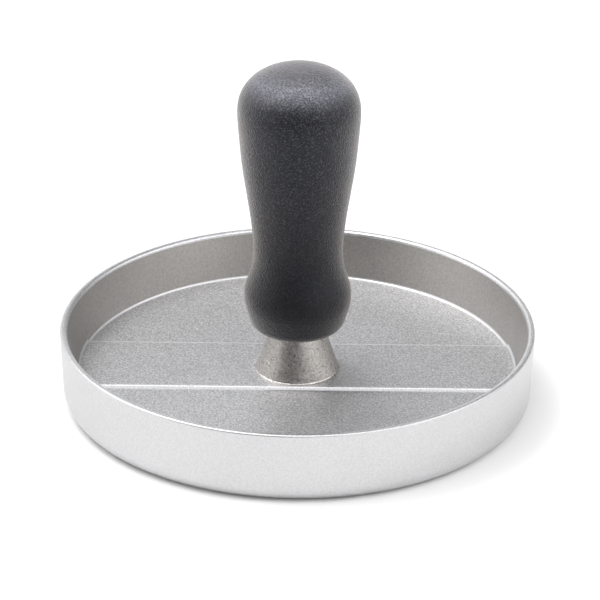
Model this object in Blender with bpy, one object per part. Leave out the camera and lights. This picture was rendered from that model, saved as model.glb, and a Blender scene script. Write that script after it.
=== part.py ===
"""Round patty press: a cast aluminium pan with a boss, and a black handle screwed onto it.

Frame: +Z up, origin at the centre of the face the press stands on.
The raised band on the floor runs along X.  All lengths are in metres.
"""
import math

import bmesh
import bpy
from mathutils import Vector

# ----------------------------------------------------------------------------
# Driving dimensions
# ----------------------------------------------------------------------------
GAP = 0.0003                # clearance kept between pieces that rest on each other

# cast pan
RIM_R = 0.0600              # outer radius at the rim
RIM_T = 0.00177             # wall thickness at the rim
PAN_H = 0.0190              # height of the rim above the table
BASE_R = 0.0593             # outer radius where the wall meets the bottom corner
CORNER_R = 0.0040           # rounded bottom corner
RIM_EDGE_OUT = 0.0005       # rounding of the rim's outer edge
RIM_EDGE_IN = 0.0006        # rounding of the rim's inner edge
FLOOR_Z = 0.0070            # top of the floor
FLOOR_R = 0.0555            # inner radius at the foot of the wall
FLOOR_FILLET = 0.0006       # fillet between floor and wall

# raised band across the floor, along X
BAND_W = 0.0248             # width over the top
BAND_Y = 0.0009             # its middle lies this far behind the boss's axis
BAND_H = 0.0008             # height above the floor
BAND_DRAFT = 0.0010         # how far each long side leans out at its foot

# boss in the middle of the pan
BOSS_TOP_Z = 0.0189
BOSS_FLARE_Z = 0.0183       # height from which the flare is counted
BOSS_FLARE_R = 0.00722      # radius at that height
BOSS_SLOPE = 0.25           # draft of the boss near its top
BOSS_FLARE = 6.2            # quadratic flare towards its foot, per metre

# pressing face, on the underside
RING_COUNT = 5              # concentric grooves
RING_FIRST_R = 0.0110       # inner edge of the first groove
RING_PITCH = 0.0082
RING_W = 0.0046             # groove width at the face
RING_DEPTH = 0.0022
RING_DRAFT = 0.0007         # how much each side of a groove leans in

# screw joint, M6 x 25, thread pitch 1 mm
RECESS_R = 0.00675          # recess for the screw head, from the underside
SEAT_Z = 0.0113             # the washers seat here, inside the boss
HOLE_R = 0.0033             # clearance hole through the top of the boss
SHANK_R = 0.00285
SCREW_L = 0.0250            # length under the head
HEAD_R = 0.0060
HEAD_H = 0.0046
CROSS_W = 0.0066            # cross recess, over the wings
CROSS_T = 0.0016            # wing thickness at the mouth
CROSS_D = 0.0030            # recess depth
WASHER_T = 0.0016
WASHER_R = 0.0060
WASHER_HOLE_R = 0.0032
LOCK_R = 0.0059
LOCK_HOLE_R = 0.00315
LOCK_SPLIT = 0.0012         # width of the cut in the spring washer

# handle
HANDLE_L = 0.0708
SEAT_R = 0.0086             # flat foot that sits on the boss
FOOT_ARC = 73               # degrees that the rounded lower edge turns through
DOME_POWER = 2.25           # squareness of the domed end
# (height, radius) from the end of the rounded edge, over the bulge and the waist, to the crown
GRIP_STATIONS = [(0.0023, 0.01194), (0.0045, 0.01264), (0.0075, 0.01334), (0.0105, 0.01338),
                 (0.0135, 0.01260), (0.0165, 0.01172), (0.0195, 0.01130), (0.0225, 0.01128),
                 (0.0260, 0.01150), (0.0310, 0.01211), (0.0370, 0.01303), (0.0440, 0.01410),
                 (0.0510, 0.01483), (0.0591, 0.01538)]

# threaded insert in the foot of the handle
INSERT_R = 0.0050
INSERT_L = 0.0160
INSERT_BORE_R = 0.0032
INSERT_RECESS = 0.0005      # how far its end lies inside the foot
TIP_ROOM = 0.0024           # free depth above the insert for the screw's tip

HANDLE_Z = BOSS_TOP_Z + GAP

for _o in list(bpy.data.objects):
    bpy.data.objects.remove(_o, do_unlink=True)


# ----------------------------------------------------------------------------
# Helpers
# ----------------------------------------------------------------------------
def material(name, colour, roughness, metallic):
    mat = bpy.data.materials.new(name)
    mat.use_nodes = True
    bsdf = mat.node_tree.nodes["Principled BSDF"]
    bsdf.inputs["Base Color"].default_value = (*colour, 1.0)
    bsdf.inputs["Roughness"].default_value = roughness
    bsdf.inputs["Metallic"].default_value = metallic
    return mat


def add_object(name, bm, mat, location=(0, 0, 0), parent=None, angle=35):
    bmesh.ops.recalc_face_normals(bm, faces=bm.faces)
    mesh = bpy.data.meshes.new(name)
    bm.to_mesh(mesh)
    bm.free()
    obj = bpy.data.objects.new(name, mesh)
    bpy.context.scene.collection.objects.link(obj)
    mesh.materials.append(mat)
    mesh.shade_smooth()
    mesh.set_sharp_from_angle(angle=math.radians(angle))
    obj.location = location
    if parent is not None:
        obj.parent = parent
        obj.location = Vector(location) - parent.location
    return obj


def empty(name, location):
    obj = bpy.data.objects.new(name, None)
    bpy.context.scene.collection.objects.link(obj)
    obj.location = location
    return obj


def turned(profile, steps):
    """Spin a closed (radius, height) outline round Z."""
    bm = bmesh.new()
    ring = [bm.verts.new((r, 0.0, z)) for r, z in profile]
    edges = [bm.edges.new((a, b)) for a, b in zip(ring, ring[1:] + ring[:1])
             if not (a.co.x < 1e-9 and b.co.x < 1e-9)]
    bmesh.ops.spin(bm, geom=ring + edges, cent=(0, 0, 0), axis=(0, 0, 1),
                   dvec=(0, 0, 0), angle=2 * math.pi, steps=steps, use_merge=True)
    bmesh.ops.remove_doubles(bm, verts=bm.verts, dist=1e-6)
    return bm


def arc(cx, cz, radius, start, end, steps):
    """Points of a circular arc in the (radius, height) plane, degrees."""
    pts = []
    for i in range(steps + 1):
        a = math.radians(start + (end - start) * i / steps)
        pts.append((cx + radius * math.cos(a), cz + radius * math.sin(a)))
    return pts


def hermite(p0, p1, m0, m1, t):
    return ((2 * t ** 3 - 3 * t ** 2 + 1) * p0 + (t ** 3 - 2 * t ** 2 + t) * m0
            + (-2 * t ** 3 + 3 * t ** 2) * p1 + (t ** 3 - t ** 2) * m1)


# ----------------------------------------------------------------------------
# Materials
# ----------------------------------------------------------------------------
mat_cast = material("cast_aluminium", (0.62, 0.61, 0.60), 0.42, 1.0)
mat_grip = material("black_grip", (0.030, 0.030, 0.033), 0.55, 0.0)
mat_brass = material("insert_brass", (0.72, 0.53, 0.24), 0.35, 1.0)
mat_steel = material("screw_steel", (0.60, 0.60, 0.61), 0.30, 1.0)


# ----------------------------------------------------------------------------
# Pan: floor, wall, boss and pressing face in one casting
# ----------------------------------------------------------------------------
def boss_radius(z):
    u = BOSS_FLARE_Z - z
    return BOSS_FLARE_R + BOSS_SLOPE * u + BOSS_FLARE * u * u


def pan_profile():
    pts = [(0.0, 0.0)]
    for i in range(RING_COUNT):                       # grooves of the pressing face
        r0 = RING_FIRST_R + i * RING_PITCH
        r1 = r0 + RING_W
        pts += [(r0, 0.0), (r0 + RING_DRAFT, RING_DEPTH),
                (r1 - RING_DRAFT, RING_DEPTH), (r1, 0.0)]
    corner_x = BASE_R - CORNER_R                      # rounded bottom corner
    pts += arc(corner_x, CORNER_R, CORNER_R, -90, 0, 5)
    pts += arc(RIM_R - RIM_EDGE_OUT, PAN_H - RIM_EDGE_OUT, RIM_EDGE_OUT, 0, 90, 3)
    rim_in = RIM_R - RIM_T
    pts += arc(rim_in + RIM_EDGE_IN, PAN_H - RIM_EDGE_IN, RIM_EDGE_IN, 90, 180, 3)
    pts += arc(FLOOR_R - FLOOR_FILLET, FLOOR_Z + FLOOR_FILLET, FLOOR_FILLET, -8, -90, 3)
    steps = 7                                         # flared boss
    for i in range(steps + 1):
        z = FLOOR_Z + (BOSS_TOP_Z - FLOOR_Z) * i / steps
        pts.append((boss_radius(z), z))
    pts.append((0.0, BOSS_TOP_Z))
    return pts


pan = add_object("press_pan", turned(pan_profile(), 64), mat_cast)

# raised band: a drafted bar whose round ends run into the wall
band_end = FLOOR_R + 0.0012
bm = bmesh.new()
foot_z = FLOOR_Z - 0.0015
half_top = BAND_W / 2
lean = BAND_DRAFT / BAND_H
segments = 10
half_foot = half_top + lean * (BAND_H + 0.0015)
low, high = [], []
for side in (1, -1):
    for i in range(segments + 1):
        f = i / segments
        for half, z, row in ((half_foot, foot_z, low), (half_top, FLOOR_Z + BAND_H, high)):
            y = side * (-half + 2 * half * f) + BAND_Y
            x = side * math.sqrt(band_end ** 2 - y * y)
            row.append(bm.verts.new((x, y, z)))
n = len(low)
bm.faces.new(low[::-1])
bm.faces.new(high)
for i in range(n):
    j = (i + 1) % n
    bm.faces.new((low[i], low[j], high[j], high[i]))
band = add_object("band_union", bm, mat_cast)
band.hide_render = True
band.display_type = 'WIRE'
join = pan.modifiers.new("raised_band", 'BOOLEAN')
join.operation = 'UNION'
join.solver = 'EXACT'
join.object = band

# recess for the screw's head and washers, and the clearance hole above it
bore = add_object("screw_bore_cutter",
                  turned([(0.0, -0.002), (RECESS_R, -0.002), (RECESS_R, SEAT_Z),
                          (HOLE_R, SEAT_Z), (HOLE_R, BOSS_TOP_Z + 0.002),
                          (0.0, BOSS_TOP_Z + 0.002)], 32), mat_cast)
bore.hide_render = True
bore.display_type = 'WIRE'
cut = pan.modifiers.new("screw_bore", 'BOOLEAN')
cut.operation = 'DIFFERENCE'
cut.solver = 'EXACT'
cut.object = bore


# ----------------------------------------------------------------------------
# Handle
# ----------------------------------------------------------------------------
handle_axis = empty("handle_axis", (0, 0, HANDLE_Z))


def grip_profile():
    """Outline from the foot, up the outside to the domed end, then the blind hole."""
    pts = []
    foot_h, foot_r = GRIP_STATIONS[0]
    turn = math.radians(FOOT_ARC)
    for i in range(5):                                # rounded lower edge
        a = turn * i / 4
        pts.append((SEAT_R + (foot_r - SEAT_R) * math.sin(a) / math.sin(turn),
                    foot_h * (1 - math.cos(a)) / (1 - math.cos(turn))))
    h = [p[0] for p in GRIP_STATIONS]
    r = [p[1] for p in GRIP_STATIONS]
    last = len(h) - 1
    slope = [(r[min(i + 1, last)] - r[max(i - 1, 0)]) / (h[min(i + 1, last)] - h[max(i - 1, 0)])
             for i in range(last + 1)]
    slope[last] = 0.0
    for i in range(last):                             # smooth curve through the stations
        span = h[i + 1] - h[i]
        for t in (0.5, 1.0):
            pts.append((hermite(r[i], r[i + 1], slope[i] * span, slope[i + 1] * span, t),
                        h[i] + span * t))
    crown_h, crown_r = GRIP_STATIONS[-1]
    rise = HANDLE_L - crown_h                         # domed end, a superellipse
    count = 9
    for i in range(1, count + 1):
        a = math.radians(90 * i / count)
        c, s = max(math.cos(a), 0.0), math.sin(a)
        pts.append((0.0 if i == count else crown_r * c ** (2 / DOME_POWER),
                    crown_h + rise * s ** (2 / DOME_POWER)))
    bore = INSERT_R + GAP                             # blind hole for the insert
    shoulder = INSERT_RECESS + INSERT_L + GAP
    pts += [(0.0, shoulder + TIP_ROOM), (SHANK_R + 0.0006, shoulder + TIP_ROOM),
            (SHANK_R + 0.0006, shoulder), (bore, shoulder), (bore, 0.0)]
    return pts


add_object("handle_grip", turned(grip_profile(), 48), mat_grip,
           location=(0, 0, HANDLE_Z), parent=handle_axis)


def insert_profile():
    groove = 0.0006
    mid = INSERT_L / 2
    return [(INSERT_BORE_R, 0.0005), (INSERT_BORE_R + 0.0005, 0.0), (INSERT_R - 0.0004, 0.0),
            (INSERT_R, 0.0004), (INSERT_R, mid - 0.0016), (INSERT_R - groove, mid - 0.0010),
            (INSERT_R - groove, mid + 0.0010), (INSERT_R, mid + 0.0016),
            (INSERT_R, INSERT_L - 0.0004), (INSERT_R - 0.0004, INSERT_L),
            (INSERT_BORE_R, INSERT_L)]


add_object("handle_insert", turned(insert_profile(), 32), mat_brass,
           location=(0, 0, HANDLE_Z + INSERT_RECESS), parent=handle_axis)


# ----------------------------------------------------------------------------
# Screw and washers, put in from the underside
# ----------------------------------------------------------------------------
washer_top = SEAT_Z - GAP
washer_bottom = washer_top - WASHER_T
lock_top = washer_bottom - GAP
lock_bottom = lock_top - WASHER_T
head_seat = lock_bottom - GAP
screw_axis = empty("screw_axis", (0, 0, head_seat))


def screw_profile():
    """From the crown of the head (lowest) round its edge and up the shank to the tip."""
    crown = 0.0011                                    # height of the domed crown
    edge = 0.0010
    pts = [(0.0, -HEAD_H)]
    for i in range(1, 4):
        f = i / 4
        r = (HEAD_R - edge) * f
        pts.append((r, -HEAD_H + crown * f * f))
    pts += arc(HEAD_R - edge, -HEAD_H + crown + edge, edge, -90, 0, 3)
    pts += [(HEAD_R, 0.0), (SHANK_R, 0.0), (SHANK_R, SCREW_L - 0.0008),
            (SHANK_R - 0.0008, SCREW_L), (0.0, SCREW_L)]
    return pts


screw = add_object("handle_screw", turned(screw_profile(), 32), mat_steel,
                   location=(0, 0, head_seat), parent=screw_axis)

# cross recess in the head: a plus-shaped plug that narrows inwards
bm = bmesh.new()
levels = []
for depth, scale in ((-0.0005, 1.06), (CROSS_D, 0.62)):
    w, t = CROSS_W / 2 * scale, CROSS_T / 2 * (scale if scale < 1 else 1.0)
    z = -HEAD_H + depth
    outline = [(w, -t), (w, t), (t, t), (t, w), (-t, w), (-t, t),
               (-w, t), (-w, -t), (-t, -t), (-t, -w), (t, -w), (t, -t)]
    levels.append([bm.verts.new((x, y, z)) for x, y in outline])
bm.faces.new(levels[0][::-1])
bm.faces.new(levels[1])
for i in range(12):
    j = (i + 1) % 12
    bm.faces.new((levels[0][i], levels[0][j], levels[1][j], levels[1][i]))
cross = add_object("cross_cutter", bm, mat_steel, location=(0, 0, head_seat), parent=screw_axis)
cross.hide_render = True
cross.display_type = 'WIRE'
cut = screw.modifiers.new("cross_recess", 'BOOLEAN')
cut.operation = 'DIFFERENCE'
cut.solver = 'EXACT'
cut.object = cross

# plain washer
add_object("flat_washer",
           turned([(WASHER_HOLE_R, 0.0), (WASHER_R - 0.0002, 0.0), (WASHER_R, 0.0002),
                   (WASHER_R, WASHER_T), (WASHER_HOLE_R, WASHER_T)], 32),
           mat_steel, location=(0, 0, washer_bottom), parent=screw_axis)

# split spring washer: a square section swept almost all the way round
bm = bmesh.new()
half_split = math.asin(LOCK_SPLIT / 2 / ((LOCK_R + LOCK_HOLE_R) / 2))
steps = 30
section = [(LOCK_HOLE_R, 0.0), (LOCK_R, 0.0), (LOCK_R, WASHER_T), (LOCK_HOLE_R, WASHER_T)]
rings = []
for i in range(steps + 1):
    a = half_split + (2 * math.pi - 2 * half_split) * i / steps
    rings.append([bm.verts.new((r * math.cos(a), r * math.sin(a), z)) for r, z in section])
for a, b in zip(rings, rings[1:]):
    for k in range(4):
        m = (k + 1) % 4
        bm.faces.new((a[k], a[m], b[m], b[k]))
bm.faces.new(rings[0][::-1])
bm.faces.new(rings[-1])
add_object("lock_washer", bm, mat_steel, location=(0, 0, lock_bottom), parent=screw_axis)
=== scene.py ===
import math

import bmesh
import bpy
from mathutils import Matrix, Vector


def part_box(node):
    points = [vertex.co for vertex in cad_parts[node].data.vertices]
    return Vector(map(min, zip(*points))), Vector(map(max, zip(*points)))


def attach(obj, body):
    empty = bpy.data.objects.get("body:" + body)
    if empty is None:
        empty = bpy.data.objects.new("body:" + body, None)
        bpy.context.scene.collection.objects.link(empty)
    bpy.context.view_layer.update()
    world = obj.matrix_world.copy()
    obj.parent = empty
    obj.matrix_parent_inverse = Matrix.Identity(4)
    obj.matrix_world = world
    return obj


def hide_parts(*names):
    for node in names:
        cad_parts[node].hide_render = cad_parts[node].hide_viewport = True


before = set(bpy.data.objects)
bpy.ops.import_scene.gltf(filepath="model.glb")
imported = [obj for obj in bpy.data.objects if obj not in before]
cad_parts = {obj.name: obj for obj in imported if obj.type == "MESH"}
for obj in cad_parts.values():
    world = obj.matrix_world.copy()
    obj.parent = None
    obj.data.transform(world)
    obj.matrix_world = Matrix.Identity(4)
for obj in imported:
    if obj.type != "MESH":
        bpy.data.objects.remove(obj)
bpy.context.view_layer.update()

# ---------------------------------------------------------------------------
# Places read from the frame
# ---------------------------------------------------------------------------
PAN_LO, PAN_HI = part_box("press_pan")
GRIP_LO, GRIP_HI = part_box("handle_grip")
INS_LO, INS_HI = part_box("handle_insert")
SCR_LO, SCR_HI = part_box("handle_screw")
LCK_LO, LCK_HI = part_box("lock_washer")
FLT_LO, FLT_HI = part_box("flat_washer")

RIM_R = PAN_HI.x                    # 60 mm
PAN_H = PAN_HI.z                    # 19 mm
GRIP_Z0, GRIP_Z1 = GRIP_LO.z, GRIP_HI.z
GRIP_R = GRIP_HI.x

# shape of the casting, in metres
RIM_T = 0.00177
BASE_R = 0.0593
CORNER_R = 0.0040
FLOOR_Z = 0.0070
FLOOR_R = 0.0555
FILLET = 0.00062
BAND_HALF = 0.0124
BAND_Y = 0.0009
BAND_H = 0.00074
BAND_RUN = 0.0009
BOSS_TOP_Z = 0.0189
BORE_R = 0.00675
SEAT_Z = 0.0113
HOLE_R = 0.0033


# ---------------------------------------------------------------------------
# Mesh helpers
# ---------------------------------------------------------------------------
def new_object(name, verts, faces, mats=(), face_mats=None, smooth=True, sharp=None):
    me = bpy.data.meshes.new(name)
    me.from_pydata(verts, [], faces)
    me.validate(clean_customdata=False)
    ob = bpy.data.objects.new(name, me)
    bpy.context.scene.collection.objects.link(ob)
    for m in mats:
        me.materials.append(m)
    if face_mats is not None:
        me.polygons.foreach_set("material_index", face_mats)
    if smooth:
        me.shade_smooth()
    if sharp is not None:
        me.set_sharp_from_angle(angle=math.radians(sharp))
    me.update()
    return ob


def outward(ob):
    bm = bmesh.new()
    bm.from_mesh(ob.data)
    bmesh.ops.recalc_face_normals(bm, faces=bm.faces)
    if bm.calc_volume(signed=True) < 0:
        bmesh.ops.reverse_faces(bm, faces=bm.faces)
    bm.to_mesh(ob.data)
    bm.free()
    ob.data.update()


def lathe(name, profile, angles, mats=(), mat_of=None, sharp=None):
    """Closed (r, z) outline turned round Z.  Points with r == 0 become one pole vertex.
    mat_of gives the material index of each profile edge."""
    n = len(angles)
    verts, rows = [], []
    for r, z in profile:
        if r < 1e-9:
            rows.append([len(verts)] * n)
            verts.append((0.0, 0.0, z))
        else:
            rows.append(list(range(len(verts), len(verts) + n)))
            verts += [(r * math.cos(a), r * math.sin(a), z) for a in angles]
    faces, fm = [], []
    m = len(profile)
    for i in range(m):
        j = (i + 1) % m
        if profile[i][0] < 1e-9 and profile[j][0] < 1e-9:
            continue
        for k in range(n):
            l = (k + 1) % n
            f = [rows[i][k], rows[i][l], rows[j][l], rows[j][k]]
            f = [v for q, v in enumerate(f) if v not in f[:q]]
            if len(f) > 2:
                faces.append(f)
                fm.append(mat_of[i] if mat_of else 0)
    ob = new_object(name, verts, faces, mats, fm, sharp=sharp)
    outward(ob)
    return ob


def uniform(n):
    return [2 * math.pi * k / n for k in range(n)]


def arc(cx, cz, r, a0, a1, n):
    return [(cx + r * math.cos(math.radians(a0 + (a1 - a0) * i / n)),
             cz + r * math.sin(math.radians(a0 + (a1 - a0) * i / n))) for i in range(n + 1)]


def smoothstep(x):
    x = min(max(x, 0.0), 1.0)
    return x * x * (3 - 2 * x)


def boolean(target, cutter, op):
    m = target.modifiers.new(op.lower(), 'BOOLEAN')
    m.operation = op
    m.solver = 'EXACT'
    m.object = cutter
    m.material_mode = 'TRANSFER'
    with bpy.context.temp_override(object=target, active_object=target, selected_objects=[target]):
        bpy.ops.object.modifier_apply(modifier=m.name)
    bpy.data.objects.remove(cutter, do_unlink=True)


# ---------------------------------------------------------------------------
# Node material helpers
# ---------------------------------------------------------------------------
class Mat:
    """A small wrapper that keeps node set-ups readable."""

    def __init__(self, name):
        self.mat = bpy.data.materials.new(name)
        self.mat.use_nodes = True
        self.nt = self.mat.node_tree
        self.nt.nodes.clear()
        self.out = self.nt.nodes.new("ShaderNodeOutputMaterial")
        self.bsdf = self.nt.nodes.new("ShaderNodeBsdfPrincipled")
        self.nt.links.new(self.bsdf.outputs[0], self.out.inputs[0])
        self.coord = self.nt.nodes.new("ShaderNodeTexCoord").outputs["Object"]

    def node(self, kind, **props):
        n = self.nt.nodes.new(kind)
        for k, v in props.items():
            setattr(n, k, v)
        return n

    def link(self, a, b):
        self.nt.links.new(a, b)

    def noise(self, scale, detail=2.0, rough=0.5, vector=None, distortion=0.0):
        n = self.node("ShaderNodeTexNoise")
        n.inputs["Scale"].default_value = scale
        n.inputs["Detail"].default_value = detail
        n.inputs["Roughness"].default_value = rough
        n.inputs["Distortion"].default_value = distortion
        self.link(vector or self.coord, n.inputs["Vector"])
        return n.outputs["Fac"]

    def voronoi(self, scale, feature='F1', randomness=1.0, vector=None, smooth=None):
        n = self.node("ShaderNodeTexVoronoi", feature=feature)
        n.inputs["Scale"].default_value = scale
        n.inputs["Randomness"].default_value = randomness
        if smooth is not None and "Smoothness" in n.inputs:
            n.inputs["Smoothness"].default_value = smooth
        self.link(vector or self.coord, n.inputs["Vector"])
        return n.outputs

    def ramp(self, fac, stops):
        n = self.node("ShaderNodeValToRGB")
        cr = n.color_ramp
        while len(cr.elements) < len(stops):
            cr.elements.new(0.5)
        for e, (p, c) in zip(cr.elements, stops):
            e.position = p
            e.color = (*c, 1.0) if len(c) == 3 else c
        self.link(fac, n.inputs["Fac"])
        return n.outputs["Color"]

    def map(self, fac, lo, hi, frm=(0.0, 1.0), clamp=True):
        n = self.node("ShaderNodeMapRange", clamp=clamp)
        n.inputs["From Min"].default_value = frm[0]
        n.inputs["From Max"].default_value = frm[1]
        n.inputs["To Min"].default_value = lo
        n.inputs["To Max"].default_value = hi
        self.link(fac, n.inputs["Value"])
        return n.outputs["Result"]

    def math(self, op, a, b):
        n = self.node("ShaderNodeMath", operation=op)
        for s, v in zip(n.inputs, (a, b)):
            if isinstance(v, (int, float)):
                s.default_value = v
            else:
                self.link(v, s)
        return n.outputs[0]

    def mix(self, fac, a, b, blend='MIX'):
        n = self.node("ShaderNodeMix", data_type='RGBA', blend_type=blend)
        for s, v in ((n.inputs[0], fac), (n.inputs[6], a), (n.inputs[7], b)):
            if isinstance(v, (int, float)):
                s.default_value = v
            elif isinstance(v, tuple):
                s.default_value = (*v, 1.0)
            else:
                self.link(v, s)
        return n.outputs[2]

    def bump(self, height, strength, distance, normal=None):
        n = self.node("ShaderNodeBump")
        n.inputs["Strength"].default_value = strength
        n.inputs["Distance"].default_value = distance
        self.link(height, n.inputs["Height"])
        if normal is not None:
            self.link(normal, n.inputs["Normal"])
        return n.outputs[0]

    def scaled(self, sx, sy, sz):
        n = self.node("ShaderNodeMapping")
        n.inputs["Scale"].default_value = (sx, sy, sz)
        self.link(self.coord, n.inputs["Vector"])
        return n.outputs[0]


def cast_metal(name, colour, spread, rough, grain, bump_mm, fleck=0.0, fine=None, blotch=0.05, cell=0.35,
               painted_foot_shade=None):
    """Sand-cast aluminium: a coarse grain in colour, roughness and relief, over slow blotches."""
    m = Mat(name)
    place = m.coord
    # the grain is laid askew, so that no flat face cuts the pattern along one of its own planes
    tilt = m.node("ShaderNodeMapping")
    tilt.inputs["Rotation"].default_value = (0.61, 0.43, 0.27)
    m.link(place, tilt.inputs["Vector"])
    m.coord = tilt.outputs[0]
    coarse = m.noise(1.0 / grain, 2.5, 0.60)
    cells = m.voronoi(1.0 / grain, 'F1')
    slow = m.noise(28.0, 3.0, 0.55)
    lo = tuple(c * (1 - spread) for c in colour)
    hi = tuple(min(1.0, c * (1 + spread)) for c in colour)
    col = m.ramp(m.map(coarse, 0, 1, (0.33, 0.67)), [(0.0, lo), (0.5, colour), (1.0, hi)])
    dim = 1.0 - 2 * blotch
    col = m.mix(1.0, col, m.ramp(slow, [(0.32, (dim, dim, dim)), (0.68, (1.0, 1.0, 1.0))]), 'MULTIPLY')
    if fleck:
        # small facets that catch the light, one cell in a few
        pick = m.map(cells["Color"], 0.0, 1.0, (1.0 - fleck, 1.0 - fleck * 0.4))
        core = m.map(cells["Distance"], 1.0, 0.0, (0.10, 0.34))
        col = m.mix(m.math('MULTIPLY', pick, core), col, (0.97, 0.97, 1.0))
    if painted_foot_shade:
        # painted highlight and shade: kept bright at the band's shoulder, darker towards its foot
        sep = m.node("ShaderNodeSeparateXYZ")
        m.link(place, sep.inputs[0])
        away = m.math('ABSOLUTE', m.math('SUBTRACT', sep.outputs[1], BAND_Y), 0.0)
        fall = m.map(away, 1.0, painted_foot_shade, (BAND_HALF + 0.00005, BAND_HALF + BAND_RUN))
        col = m.mix(1.0, col, m.ramp(fall, [(0.0, (0, 0, 0)), (1.0, (1, 1, 1))]), 'MULTIPLY')
    m.link(col, m.bsdf.inputs["Base Color"])
    m.bsdf.inputs["Metallic"].default_value = 1.0
    m.link(m.map(coarse, rough - 0.06, rough + 0.08, (0.3, 0.7)), m.bsdf.inputs["Roughness"])
    relief = m.math('ADD', coarse, m.math('MULTIPLY', cells["Distance"], cell))
    nrm = m.bump(relief, 1.0, bump_mm * 0.001)
    if fine:
        nrm = m.bump(m.noise(1.0 / fine[0], 2.0, 0.6), 1.0, fine[1] * 0.001, nrm)
    m.link(nrm, m.bsdf.inputs["Normal"])
    return m.mat


MAT_FLOOR = cast_metal("cast_floor_sandy", (0.645, 0.645, 0.656), 0.34, 0.50, 0.00044, 0.024, fleck=0.16,
                       fine=(0.00024, 0.006), blotch=0.025)
# painted highlight: a lighter copy of the cast metal on the band's shoulder, for its bright line
MAT_ARRIS = cast_metal("cast_band_arris", (0.84, 0.84, 0.85), 0.20, 0.42, 0.00036, 0.016, blotch=0.01)
# painted highlight and shade: a lighter copy of the cast metal for the band's bright edge line, darkened towards its
# foot
MAT_EDGE = cast_metal("cast_band_edge", (0.66, 0.66, 0.67), 0.20, 0.45, 0.00036, 0.016, blotch=0.01, painted_foot_shade=0.45)
# painted shade: the inner wall is a darker copy of the same cast metal as the floor
MAT_INNER = cast_metal("cast_inner_wall", (0.470, 0.454, 0.433), 0.14, 0.44, 0.00050, 0.024,
                       fine=(0.00025, 0.006))
MAT_OUTER = cast_metal("cast_outer_satin", (0.642, 0.637, 0.642), 0.08, 0.42, 0.00050, 0.012,
                       fine=(0.00022, 0.005), blotch=0.02)
# painted highlight: the rim top and the foot fillet are lighter copies of the cast metal, for their bright lines
MAT_RIM = cast_metal("cast_rim_top", (0.71, 0.71, 0.72), 0.16, 0.42, 0.00042, 0.012, blotch=0.01)
MAT_FILLET = cast_metal("cast_foot_fillet", (0.76, 0.76, 0.77), 0.08, 0.44, 0.00050, 0.008, blotch=0.01)
# painted shade and painted reflection: the boss is a darker, warmer copy of the cast metal, warmed for the handle and
# inner wall it reflects; the hammered relief comes from the bump
MAT_BOSS = cast_metal("cast_boss_hammered", (0.570, 0.547, 0.521), 0.24, 0.31, 0.00056, 0.12, fleck=0.34,
                      fine=(0.00034, 0.045), cell=0.0)
MAT_FACE = cast_metal("pressing_face", (0.72, 0.72, 0.72), 0.06, 0.38, 0.00060, 0.020,
                      fine=(0.00022, 0.006))


# ---------------------------------------------------------------------------
# The casting
# ---------------------------------------------------------------------------
ROUND_TOP, ROUND_FOOT = 0.00020, 0.00055     # lengths over which the flank's two ends are eased
EDGE_IN = 0.00012                            # the easing starts this far inside the nominal edge
FLANK = BAND_RUN + EDGE_IN                   # shoulder start to foot end
SLOPE = BAND_H / (FLANK - 0.5 * (ROUND_TOP + ROUND_FOOT))


def band_height(y):
    """Raised band across the floor: a flat top, an eased shoulder, a straight flank and an eased foot."""
    t = abs(y - BAND_Y) - (BAND_HALF - EDGE_IN)
    if t <= 0:
        return BAND_H
    if t < ROUND_TOP:
        return BAND_H - 0.5 * SLOPE * t * t / ROUND_TOP
    if t > FLANK:
        return 0.0
    if t > FLANK - ROUND_FOOT:
        return 0.5 * SLOPE * (FLANK - t) ** 2 / ROUND_FOOT
    return BAND_H - 0.5 * SLOPE * ROUND_TOP - SLOPE * (t - ROUND_TOP)


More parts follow.
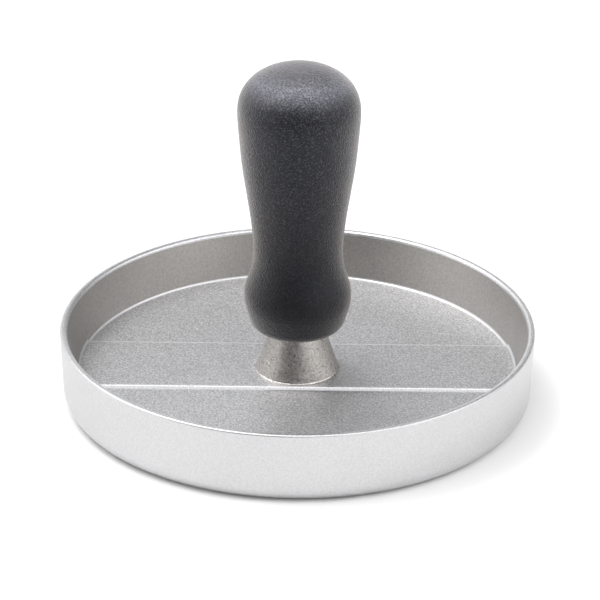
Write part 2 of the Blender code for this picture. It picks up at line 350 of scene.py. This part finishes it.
def build_pan():
    # rows across the floor, close together at the two edges of the band
    r_f = FLOOR_R - FILLET
    ys = set()
    n = 120
    for i in range(n + 1):
        ys.add(round(r_f * math.sin(math.pi * (i / n - 0.5)), 9))
    e0 = BAND_HALF - EDGE_IN
    foot_y = e0 + FLANK
    edge = [e0 - 0.0006, e0 - 0.00038, e0 - 0.00012, e0 - 0.00003]
    edge += [e0 + ROUND_TOP * i / 6 for i in range(7)]
    edge += [e0 + ROUND_TOP + (FLANK - ROUND_TOP - ROUND_FOOT) * i / 3 for i in (1, 2)]
    edge += [foot_y - ROUND_FOOT * i / 4 for i in range(4, -1, -1)]
    edge += [foot_y + 0.00003, foot_y + 0.00012, foot_y + 0.0006]
    ys = {y for y in ys if not e0 - 0.0009 < abs(y - BAND_Y) < foot_y + 0.0009}
    for e in edge:
        ys.add(BAND_Y + e)
        ys.add(BAND_Y - e)
    ys = sorted(ys)
    ys = [y for q, y in enumerate(ys) if q == 0 or y - ys[q - 1] > 2e-6]
    ys[0], ys[-1] = -r_f, r_f
    N = len(ys)

    # angle list of the round walls, from the rows' ends
    right = [math.asin(max(-1, min(1, y / r_f))) for y in ys]               # -90..90
    left = [math.pi - a for a in right[1:-1]][::-1]                         # 90..270
    angles = right + left
    A = len(angles)

    verts, faces, fm = [], [], []
    # floor grid: each row runs between its two ends
    cols = 44
    grid = []
    for i, y in enumerate(ys):
        if i in (0, N - 1):
            verts.append((0.0, y, FLOOR_Z + band_height(y)))
            grid.append([len(verts) - 1] * (cols + 1))
            continue
        X = math.sqrt(max(r_f * r_f - y * y, 0))
        z = FLOOR_Z + band_height(y)
        row = []
        for j in range(cols + 1):
            u = -1 + 2 * j / cols
            row.append(len(verts))
            verts.append((X * u, y, z))
        grid.append(row)
    for i in range(N - 1):
        for j in range(cols):
            f = [grid[i][j], grid[i][j + 1], grid[i + 1][j + 1], grid[i + 1][j]]
            f = [v for q, v in enumerate(f) if v not in f[:q]]
            if len(f) > 2:
                faces.append(f)
                off = abs((ys[i] + ys[i + 1]) / 2 - BAND_Y)
                fm.append(0 if off < e0 - 0.0004 or off > foot_y - 0.0001 else 7 if off < e0 + ROUND_TOP else 5)
    ring0 = [grid[i][cols] for i in range(N)] + [grid[i][0] for i in range(N - 2, 0, -1)]
    assert len(ring0) == A

    rings = [ring0]

    def ring(rfun, mat):
        idx = []
        for a in angles:
            r, z = rfun(a)
            idx.append(len(verts))
            verts.append((r * math.cos(a), r * math.sin(a), z))
        prev = rings[-1]
        for k in range(A):
            l = (k + 1) % A
            faces.append([prev[k], prev[l], idx[l], idx[k]])
            fm.append(mat)
        rings.append(idx)

    def base(a, r):
        return FLOOR_Z + band_height(r * math.sin(a))

    # fillet between floor and wall; it rises with the band
    for k in range(1, 8):
        phi = math.radians(83 * k / 7)
        ring(lambda a, p=phi: (r_f + FILLET * math.sin(p),
                               base(a, r_f + FILLET * math.sin(p)) + FILLET * (1 - math.cos(p))), 8 if k > 1 else 0)
    r1 = r_f + FILLET * math.sin(math.radians(83))
    z1 = FILLET * (1 - math.cos(math.radians(83)))
    rim_in = RIM_R - RIM_T
    ri_edge = 0.00085
    steps = (0.04, 0.12, 0.35, 0.6, 0.85, 0.96, 1.0)
    for t in steps:
        def wall(a, t=t):
            zb = base(a, r1) + z1
            z_end = PAN_H - ri_edge
            return (r1 + (rim_in - r1) * t, zb + (z_end - zb) * t)
        ring(wall, 1)
    for r, z in arc(rim_in + ri_edge, PAN_H - ri_edge, ri_edge, 180, 90, 7)[1:]:
        ring(lambda a, r=r, z=z: (r, z), 6)
    ro = 0.0005
    ring(lambda a: (rim_in + ri_edge + 0.0001, PAN_H), 6)
    ring(lambda a: (RIM_R - ro - 0.0001, PAN_H), 6)
    for i, (r, z) in enumerate(arc(RIM_R - ro, PAN_H - ro, ro, 90, 0, 8)):
        ring(lambda a, r=r, z=z: (r, z), 6 if i < 6 else 2)
    for t in (0.03, 0.3, 0.6, 0.97):
        ring(lambda a, t=t: (RIM_R + (BASE_R - RIM_R) * t,
                             PAN_H - ro + (CORNER_R - PAN_H + ro) * t), 2)
    for r, z in arc(BASE_R - CORNER_R, CORNER_R, CORNER_R, 0, -90, 14):
        ring(lambda a, r=r, z=z: (r, z), 2)
    # pressing face with rounded ring grooves
    out = []
    count, first, pitch, width, depth = 5, 0.0110, 0.0082, 0.0046, 0.0022
    for i in reversed(range(count)):
        r0, r1g = first + i * pitch, first + i * pitch + width
        out += [(r1g + 0.0006, 0.0), (r1g + 0.0003, 0.00003), (r1g + 0.00008, 0.00016), (r1g - 0.00010, 0.00048),
                (r1g - 0.0005, depth - 0.0006), (r1g - 0.0007, depth - 0.0002), (r1g - 0.0011, depth),
                (r0 + 0.0011, depth), (r0 + 0.0007, depth - 0.0002), (r0 + 0.0005, depth - 0.0006),
                (r0 + 0.00010, 0.00048), (r0 - 0.00008, 0.00016), (r0 - 0.0003, 0.00003), (r0 - 0.0006, 0.0)]
    for r, z in out:
        ring(lambda a, r=r, z=z: (r, z), 3)
    ring(lambda a: (0.0090, 0.0), 3)
    ring(lambda a: (0.0040, 0.0), 3)
    pole = len(verts)
    verts.append((0, 0, 0))
    last = rings[-1]
    for k in range(A):
        faces.append([last[k], last[(k + 1) % A], pole])
        fm.append(3)

    mats = [MAT_FLOOR, MAT_INNER, MAT_OUTER, MAT_FACE, MAT_BOSS, MAT_EDGE, MAT_RIM, MAT_ARRIS, MAT_FILLET]
    pan = new_object("pan_casting", verts, faces, mats, fm)
    outward(pan)

    # flared boss with a foot fillet, as its own closed body, then joined on
    prof = [(0.0, 0.0045), (0.0128, 0.0045)]
    top = FLOOR_Z + BAND_H

    def boss_r(z):
        u = 0.0183 - z
        return 0.00722 + 0.25 * u + 6.2 * u * u
    foot = 0.00062
    side_r = boss_r(top + foot)
    for i in range(0, 8):
        phi = math.radians(8 + (70 - 8) * i / 7)
        prof.append((side_r + foot * math.cos(math.radians(70 - 70)) - foot * math.sin(phi) + 0.0,
                     top + foot * (1 - math.cos(phi)) - 0.00002))
    z_from = prof[-1][1] + 0.0003
    for i in range(13):
        z = z_from + (BOSS_TOP_Z - 0.0004 - z_from) * i / 12
        prof.append((boss_r(z), z))
    rt = boss_r(BOSS_TOP_Z - 0.0004)
    prof += arc(rt - 0.0004, BOSS_TOP_Z - 0.0004, 0.0004, 10, 90, 5)
    prof.append((0.0, BOSS_TOP_Z))
    boss = lathe("boss_body", prof, uniform(144), mats,
                 [4] * len(prof))
    boolean(pan, boss, 'UNION')

    c = 0.0004
    bore = lathe("bore_body", [(0.0, -0.003), (BORE_R + c + 0.003, -0.003), (BORE_R + c, -0.0000), (BORE_R, c),
                               (BORE_R, SEAT_Z), (HOLE_R, SEAT_Z), (HOLE_R, BOSS_TOP_Z - 0.0003),
                               (HOLE_R + 0.0003, BOSS_TOP_Z), (HOLE_R + 0.0033, BOSS_TOP_Z + 0.003),
                               (0.0, BOSS_TOP_Z + 0.003)],
                 uniform(96), mats, [3] * 10)
    boolean(pan, bore, 'DIFFERENCE')
    pan.data.shade_smooth()
    pan.data.set_sharp_from_angle(angle=math.radians(40))
    return pan


pan = build_pan()
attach(pan, "pan")
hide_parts("press_pan")


# ---------------------------------------------------------------------------
# Handle
# ---------------------------------------------------------------------------
def grip_material():
    """Matt black grip: a fine pebbled skin, a cool gloss, a crown lightened as a painted highlight, and painted shade
    towards the foot.
    """
    m = Mat("black_matt_grip")
    fine = m.noise(1.0 / 0.00040, 2.0, 0.60)
    cells = m.voronoi(1.0 / 0.00050, 'F1')["Distance"]
    slow = m.noise(40.0, 3.0, 0.55)
    col = m.ramp(m.map(fine, 0, 1, (0.38, 0.64)), [(0.0, (0.000, 0.000, 0.000)), (0.55, (0.002, 0.002, 0.002)),
                                                   (1.0, (0.054, 0.055, 0.064))])
    # pale grey colour of the painted highlight on the crown
    crown_painted_highlight = m.ramp(m.map(fine, 0, 1, (0.34, 0.66)), [(0.0, (0.080, 0.082, 0.096)), (0.50, (0.168, 0.171, 0.200)),
                                                    (1.0, (0.345, 0.350, 0.400))])
    sep = m.node("ShaderNodeSeparateXYZ")
    m.link(m.coord, sep.inputs[0])
    height = m.math('ADD', sep.outputs[2], m.map(m.noise(260.0, 3.0, 0.6), -0.0007, 0.0007))
    # the painted crown highlight reaches a little lower at the sides, and is fainter there
    aside = m.math('ABSOLUTE', sep.outputs[0], 0.0)
    height = m.math('ADD', height, m.math('MULTIPLY', aside, 0.09))
    # painted highlight: the grip's colour turns pale grey over the crown, by height
    crown = m.ramp(m.map(height, 0.0, 1.0, (0.0815, 0.0900)), [(0.0, (0, 0, 0)), (0.29, (0.09, 0.09, 0.09)),
                                                               (0.50, (0.40, 0.40, 0.40)), (0.68, (0.88, 0.88, 0.88)),
                                                               (0.78, (1, 1, 1)), (1.0, (0.46, 0.46, 0.46))])
    crown = m.math('MULTIPLY', crown, m.map(aside, 1.0, 0.70, (0.004, 0.013)))
    # painted shade: the grip's colour darkens towards its foot
    foot = m.ramp(m.map(sep.outputs[2], 0.0, 1.0, (0.020, 0.060)), [(0.0, (0.10, 0.10, 0.10)), (0.35, (0.30, 0.30, 0.30)),
                                                                    (1.0, (1.0, 1.0, 1.0))])
    col = m.mix(crown, m.mix(1.0, col, foot, 'MULTIPLY'), crown_painted_highlight)
    tint = m.ramp(slow, [(0.35, (0.90, 0.94, 1.0)), (0.65, (1.0, 0.97, 0.94))])
    m.link(m.mix(1.0, col, tint, 'MULTIPLY'), m.bsdf.inputs["Base Color"])
    m.bsdf.inputs["Metallic"].default_value = 0.0
    m.bsdf.inputs["Specular IOR Level"].default_value = 0.32
    m.bsdf.inputs["Specular Tint"].default_value = (0.86, 0.88, 1.0, 1.0)
    m.link(m.map(m.math('ADD', fine, m.math('MULTIPLY', cells, 0.3)), 0.50, 0.24, (0.40, 0.80)),
           m.bsdf.inputs["Roughness"])
    m.bsdf.inputs["Sheen Weight"].default_value = 0.69
    m.bsdf.inputs["Sheen Roughness"].default_value = 0.38
    m.bsdf.inputs["Sheen Tint"].default_value = (1.0, 0.95, 0.91, 1.0)
    relief = m.math('ADD', fine, m.math('MULTIPLY', cells, 0.4))
    m.link(m.bump(relief, 1.0, 0.00020), m.bsdf.inputs["Normal"])
    return m.mat


MAT_GRIP = grip_material()


def hermite(p0, p1, m0, m1, t):
    return ((2 * t ** 3 - 3 * t ** 2 + 1) * p0 + (t ** 3 - 2 * t ** 2 + t) * m0
            + (-2 * t ** 3 + 3 * t ** 2) * p1 + (t ** 3 - t ** 2) * m1)


def grip_outline():
    L = GRIP_Z1 - GRIP_Z0
    st = [(0.0023, 0.01194), (0.0045, 0.01264), (0.0075, 0.01334), (0.0105, 0.01338),
          (0.0135, 0.01260), (0.0165, 0.01172), (0.0195, 0.01130), (0.0225, 0.01128),
          (0.0260, 0.01150), (0.0310, 0.01211), (0.0370, 0.01303), (0.0440, 0.01410),
          (0.0510, 0.01483), (0.0591, GRIP_R)]
    seat = 0.0086
    foot_h, foot_r = st[0]
    turn = math.radians(73)
    pts = []
    for i in range(11):
        a = turn * i / 10
        pts.append((seat + (foot_r - seat) * math.sin(a) / math.sin(turn),
                    foot_h * (1 - math.cos(a)) / (1 - math.cos(turn))))
    h = [p[0] for p in st]
    r = [p[1] for p in st]
    last = len(h) - 1
    slope = [(r[min(i + 1, last)] - r[max(i - 1, 0)]) / (h[min(i + 1, last)] - h[max(i - 1, 0)])
             for i in range(last + 1)]
    slope[last] = 0.0
    for i in range(last):
        d = h[i + 1] - h[i]
        n = max(3, round(d / 0.0008))
        for k in range(1, n + 1):
            t = k / n
            pts.append((hermite(r[i], r[i + 1], slope[i] * d, slope[i + 1] * d, t), h[i] + d * t))
    rise = L - h[last]
    n = 36
    for i in range(1, n + 1):
        a = math.radians(90 * i / n)
        pts.append((0.0 if i == n else GRIP_R * max(math.cos(a), 0.0) ** (2 / 2.25),
                    h[last] + rise * math.sin(a) ** (2 / 2.25)))
    shoulder = 0.0168
    pts += [(0.0, shoulder + 0.0024), (0.00345, shoulder + 0.0024), (0.00345, shoulder), (0.0053, shoulder),
            (0.0053, 0.0003), (0.0056, 0.0)]
    return [(r, GRIP_Z0 + h) for r, h in pts]


grip = lathe("grip_body", grip_outline(), uniform(160), [MAT_GRIP], sharp=50)
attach(grip, "handle")
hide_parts("handle_grip")


# ---------------------------------------------------------------------------
# Insert, screw and washers
# ---------------------------------------------------------------------------
def turned_metal(name, colour, rough, ring_scale, bump_mm):
    """Machined metal: fine turning rings along the axis, slow tarnish."""
    m = Mat(name)
    rings = m.noise(ring_scale, 2.0, 0.5, m.scaled(0.02, 0.02, 1.0))
    slow = m.noise(300.0, 3.0, 0.55)
    lo = tuple(c * 0.88 for c in colour)
    col = m.ramp(slow, [(0.35, lo), (0.65, colour)])
    m.link(col, m.bsdf.inputs["Base Color"])
    m.bsdf.inputs["Metallic"].default_value = 1.0
    m.link(m.map(slow, rough - 0.05, rough + 0.08, (0.3, 0.7)), m.bsdf.inputs["Roughness"])
    m.link(m.bump(rings, 1.0, bump_mm * 0.001), m.bsdf.inputs["Normal"])
    return m.mat


MAT_BRASS = turned_metal("turned_brass", (0.78, 0.57, 0.27), 0.28, 9000.0, 0.010)
MAT_STEEL = turned_metal("bright_steel", (0.63, 0.63, 0.64), 0.24, 9000.0, 0.006)


def build_insert():
    z0, z1 = INS_LO.z, INS_HI.z
    R, rb = INS_HI.x, 0.0032
    n = 96
    groove = 0.0006
    mid = (z0 + z1) / 2
    levels = [(z0, R - 0.0004, 0), (z0 + 0.0004, R, 1), (mid - 0.0016, R, 1), (mid - 0.0010, R - groove, 0),
              (mid + 0.0010, R - groove, 0), (mid + 0.0016, R, 1), (z1 - 0.0004, R, 1), (z1, R - 0.0004, 0)]
    verts, rows = [], []
    for z, r, knurl in levels:
        row = []
        for k in range(n):
            a = 2 * math.pi * k / n
            rr = r - (0.00016 if knurl and k % 4 in (0, 1) else 0.0)
            row.append(len(verts))
            verts.append((rr * math.cos(a), rr * math.sin(a), z))
        rows.append(row)
    for z, r in ((z1, rb), (z0 + 0.0005, rb), (z0, rb + 0.0005)):
        row = []
        for k in range(n):
            a = 2 * math.pi * k / n
            row.append(len(verts))
            verts.append((r * math.cos(a), r * math.sin(a), z))
        rows.append(row)
    faces = []
    for i in range(len(rows)):
        j = (i + 1) % len(rows)
        for k in range(n):
            l = (k + 1) % n
            faces.append([rows[i][k], rows[i][l], rows[j][l], rows[j][k]])
    ob = new_object("insert_body", verts, faces, [MAT_BRASS], sharp=30)
    outward(ob)
    ob.data.set_sharp_from_angle(angle=math.radians(30))
    return ob


insert = build_insert()
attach(insert, "handle")
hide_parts("handle_insert")


def build_screw():
    seat = SCR_LO.z + 0.0046
    tip = SCR_HI.z
    n = 48
    pitch, r_major, r_minor = 0.0010, 0.00284, 0.00240
    verts, faces = [], []
    # head, from the crown's middle to the seat
    R, edge, crown = 0.0060, 0.0010, 0.0011
    prof = [(0.0, SCR_LO.z)]
    for i in range(1, 9):
        f = i / 8
        prof.append(((R - edge) * f, SCR_LO.z + crown * f * f))
    prof += arc(R - edge, SCR_LO.z + crown + edge, edge, -75, 0, 7)
    prof += [(R, seat - 0.0001), (R - 0.0001, seat), (r_minor + 0.0004, seat), (r_minor, seat + 0.0004)]
    rows = []
    for r, z in prof:
        if r < 1e-9:
            rows.append([len(verts)] * n)
            verts.append((0, 0, z))
        else:
            rows.append(list(range(len(verts), len(verts) + n)))
            verts += [(r * math.cos(2 * math.pi * k / n), r * math.sin(2 * math.pi * k / n), z) for k in range(n)]
    # threaded shank: radius follows a right-hand helix
    z = seat + 0.0008
    dz = pitch / 12
    start, stop = z, tip - 0.0012
    while z < tip - 0.0002:
        fade = min(1.0, (z - start) / 0.0012, max(0.0, (tip - 0.0002 - z) / 0.0010))
        row = list(range(len(verts), len(verts) + n))
        for k in range(n):
            a = 2 * math.pi * k / n
            ph = ((z / pitch) - a / (2 * math.pi)) % 1.0
            tri = 1.0 - abs(2 * ph - 1.0)
            tri = min(max((tri - 0.12) / 0.76, 0.0), 1.0)
            r = r_minor + (r_major - r_minor) * tri * fade
            verts.append((r * math.cos(a), r * math.sin(a), z))
        rows.append(row)
        z += dz
    rows.append(list(range(len(verts), len(verts) + n)))
    verts += [((r_minor - 0.0004) * math.cos(2 * math.pi * k / n), (r_minor - 0.0004) * math.sin(2 * math.pi * k / n), tip)
              for k in range(n)]
    rows.append([len(verts)] * n)
    verts.append((0, 0, tip))
    for a, b in zip(rows, rows[1:]):
        for k in range(n):
            l = (k + 1) % n
            f = [a[k], a[l], b[l], b[k]]
            f = [v for q, v in enumerate(f) if v not in f[:q]]
            if len(f) > 2:
                faces.append(f)
    ob = new_object("screw_body", verts, faces, [MAT_STEEL])
    outward(ob)
    # cross recess with tapered wings
    bm = bmesh.new()
    levels = []
    for depth, scale in ((-0.0005, 1.06), (0.0005, 1.0), (0.0030, 0.62)):
        w, t = 0.0033 * scale, 0.0008 * (scale if scale < 1 else 1.0)
        zz = SCR_LO.z + depth
        q = t * 1.5
        outline = [(w, -t), (w, t), (q, t), (t, q), (t, w), (-t, w), (-t, q), (-q, t),
                   (-w, t), (-w, -t), (-q, -t), (-t, -q), (-t, -w), (t, -w), (t, -q), (q, -t)]
        levels.append([bm.verts.new((x, y, zz)) for x, y in outline])
    tipv = bm.verts.new((0, 0, SCR_LO.z + 0.0036))
    m = len(levels[0])
    bm.faces.new(levels[0][::-1])
    for a, b in zip(levels, levels[1:]):
        for i in range(m):
            j = (i + 1) % m
            bm.faces.new((a[i], a[j], b[j], b[i]))
    for i in range(m):
        bm.faces.new((levels[-1][i], levels[-1][(i + 1) % m], tipv))
    bmesh.ops.recalc_face_normals(bm, faces=bm.faces)
    me = bpy.data.meshes.new("cross_body")
    bm.to_mesh(me)
    bm.free()
    me.materials.append(MAT_STEEL)
    cross = bpy.data.objects.new("cross_body", me)
    bpy.context.scene.collection.objects.link(cross)
    boolean(ob, cross, 'DIFFERENCE')
    ob.data.shade_smooth()
    ob.data.set_sharp_from_angle(angle=math.radians(32))
    return ob


screw = build_screw()
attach(screw, "screw")
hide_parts("handle_screw")


def build_flat_washer():
    z0, z1 = FLT_LO.z, FLT_HI.z
    e = 0.00018
    prof = [(0.0032, z0 + e / 2), (0.0032 + e / 2, z0), (0.0060 - e, z0), (0.0060 - e * 0.3, z0 + e * 0.3),
            (0.0060, z0 + e), (0.0060, z1 - e), (0.0060 - e * 0.3, z1 - e * 0.3), (0.0060 - e, z1),
            (0.0032 + e / 2, z1), (0.0032, z1 - e / 2)]
    return lathe("flat_washer_body", prof, uniform(72), [MAT_STEEL], sharp=35)


fw = build_flat_washer()
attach(fw, "screw")
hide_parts("flat_washer")


def build_lock_washer():
    z0, z1 = LCK_LO.z, LCK_HI.z
    r0, r1 = 0.00315, 0.0059
    e = 0.00018
    sec = [(r0 + e, z0), (r1 - e, z0), (r1, z0 + e), (r1, z1 - e), (r1 - e, z1), (r0 + e, z1), (r0, z1 - e), (r0, z0 + e)]
    half = math.asin(0.0006 / ((r0 + r1) / 2))
    n = 72
    verts, rings, faces = [], [], []
    for i in range(n + 1):
        a = half + (2 * math.pi - 2 * half) * i / n
        rings.append(list(range(len(verts), len(verts) + 8)))
        verts += [(r * math.cos(a), r * math.sin(a), z) for r, z in sec]
    for a, b in zip(rings, rings[1:]):
        for k in range(8):
            l = (k + 1) % 8
            faces.append([a[k], a[l], b[l], b[k]])
    faces.append(rings[0][::-1])
    faces.append(rings[-1])
    ob = new_object("lock_washer_body", verts, faces, [MAT_STEEL])
    outward(ob)
    ob.data.set_sharp_from_angle(angle=math.radians(35))
    return ob


lw = build_lock_washer()
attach(lw, "screw")
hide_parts("lock_washer")


# ---------------------------------------------------------------------------
# Stage: pale floor, soft light
# ---------------------------------------------------------------------------
def build_stage():
    m = Mat("studio_white")
    n = m.noise(6.0, 2.0, 0.5)
    m.link(m.ramp(n, [(0.3, (0.95, 0.95, 0.95)), (0.7, (0.965, 0.965, 0.965))]), m.bsdf.inputs["Base Color"])
    m.bsdf.inputs["Roughness"].default_value = 0.85
    m.bsdf.inputs["Specular IOR Level"].default_value = 0.2
    ob = lathe("studio_floor", [(0.0, -0.00005), (12.0, -0.00005), (12.0, -0.02), (0.0, -0.02)], uniform(96), [m.mat])


build_stage()


# The studio round the object: brightness by compass direction (right, rear-right, rear,
# rear-left, left, front-left, front, front-right) at four heights, and one value overhead.
ENV_HEIGHTS = (4.0, 20.0, 40.0, 62.0, 90.0)
ENV_ROWS = (
    (0.47, 0.04, 1.91, 0.05, 2.01, 0.28, 0.02, 2.79),
    (1.51, 0.04, 0.69, 0.64, 2.18, 0.03, 0.00, 0.03),
    (2.54, 0.04, 0.03, 1.37, 0.51, 0.02, 0.02, 1.59),
    (0.67, 0.06, 0.25, 5.00, 5.00, 1.97, 2.16, 2.79),
)
ENV_TOP = 0.80
ENV_PEAK = 8.0


def build_world():
    world = bpy.data.worlds.new("studio_world")
    bpy.context.scene.world = world
    world.use_nodes = True
    nt = world.node_tree
    nt.nodes.clear()
    out = nt.nodes.new("ShaderNodeOutputWorld")
    bg = nt.nodes.new("ShaderNodeBackground")
    nt.links.new(bg.outputs[0], out.inputs[0])
    sep = nt.nodes.new("ShaderNodeSeparateXYZ")
    nt.links.new(nt.nodes.new("ShaderNodeTexCoord").outputs["Generated"], sep.inputs[0])

    def calc(op, a, b=None, clamp=False):
        n = nt.nodes.new("ShaderNodeMath")
        n.operation = op
        n.use_clamp = clamp
        for s, v in zip(n.inputs, (a, b)):
            if isinstance(v, (int, float)):
                s.default_value = v
            elif v is not None:
                nt.links.new(v, s)
        return n.outputs[0]

    height = calc('ARCSINE', sep.outputs[2])
    turn = calc('DIVIDE', calc('ARCTAN2', sep.outputs[1], sep.outputs[0]), 2 * math.pi)
    turn = calc('FRACT', calc('ADD', turn, 1.0))
    hs = [math.radians(v) for v in ENV_HEIGHTS]
    total = None
    for i in range(5):
        if i < 4:
            up = calc('DIVIDE', calc('SUBTRACT', hs[i + 1], height), hs[i + 1] - hs[i], True)
        if i > 0:
            down = calc('DIVIDE', calc('SUBTRACT', height, hs[i - 1]), hs[i] - hs[i - 1], True)
        weight = up if i == 0 else down if i == 4 else calc('MINIMUM', up, down)
        if i < 4:
            row = ENV_ROWS[i] + (ENV_ROWS[i][0],)
            ramp = nt.nodes.new("ShaderNodeValToRGB")
            cr = ramp.color_ramp
            for k in range(1, 8):
                cr.elements.new(k / 8)
            for k, v in enumerate(row):
                g = min(1.0, v / ENV_PEAK)
                cr.elements[k].color = (g, g, g, 1.0)
            nt.links.new(turn, ramp.inputs[0])
            term = calc('MULTIPLY', calc('MULTIPLY', weight, ramp.outputs[0]), ENV_PEAK)
        else:
            term = calc('MULTIPLY', weight, ENV_TOP)
        total = term if total is None else calc('ADD', total, term)
    nt.links.new(total, bg.inputs[1])
    bg.inputs[0].default_value = (1.13, 1.13, 1.136, 1.0)


build_world()

vs = bpy.context.scene.view_settings
vs.view_transform = 'Standard'
vs.look = 'None'
vs.exposure = 0.0
vs.gamma = 1.0

# ---------------------------------------------------------------------------
# Camera
# ---------------------------------------------------------------------------
UNIT = RIM_R
DIST = 20.0 * UNIT
ELEV, PITCH, YAW, ROLL = math.radians(26.16), math.radians(25.839), math.radians(0.030), math.radians(0.45)
TURN = math.radians(0.46)                # the raised band lies a little off the camera's axis
F_PX = 4747.0
fwd = Vector((math.sin(YAW) * math.cos(PITCH), math.cos(YAW) * math.cos(PITCH), -math.sin(PITCH)))
right = Vector((math.cos(YAW), -math.sin(YAW), 0.0))
up = right.cross(fwd)
r2 = right * math.cos(ROLL) + up * math.sin(ROLL)
u2 = -right * math.sin(ROLL) + up * math.cos(ROLL)
rot = Matrix((r2, u2, -fwd)).transposed()
pos = Vector((0.0, -DIST * math.cos(ELEV), PAN_H + DIST * math.sin(ELEV)))
spin = Matrix.Rotation(TURN, 3, 'Z')
cam_data = bpy.data.cameras.new("camera")
cam = bpy.data.objects.new("camera", cam_data)
bpy.context.scene.collection.objects.link(cam)
cam.matrix_world = Matrix.Translation(spin @ pos) @ (spin @ rot).to_4x4()
cam_data.sensor_width = 36.0
cam_data.lens = 36.0 * F_PX / 600.0
cam_data.clip_start, cam_data.clip_end = 0.05, 60.0
cam_data.dof.use_dof = False
bpy.context.scene.camera = cam
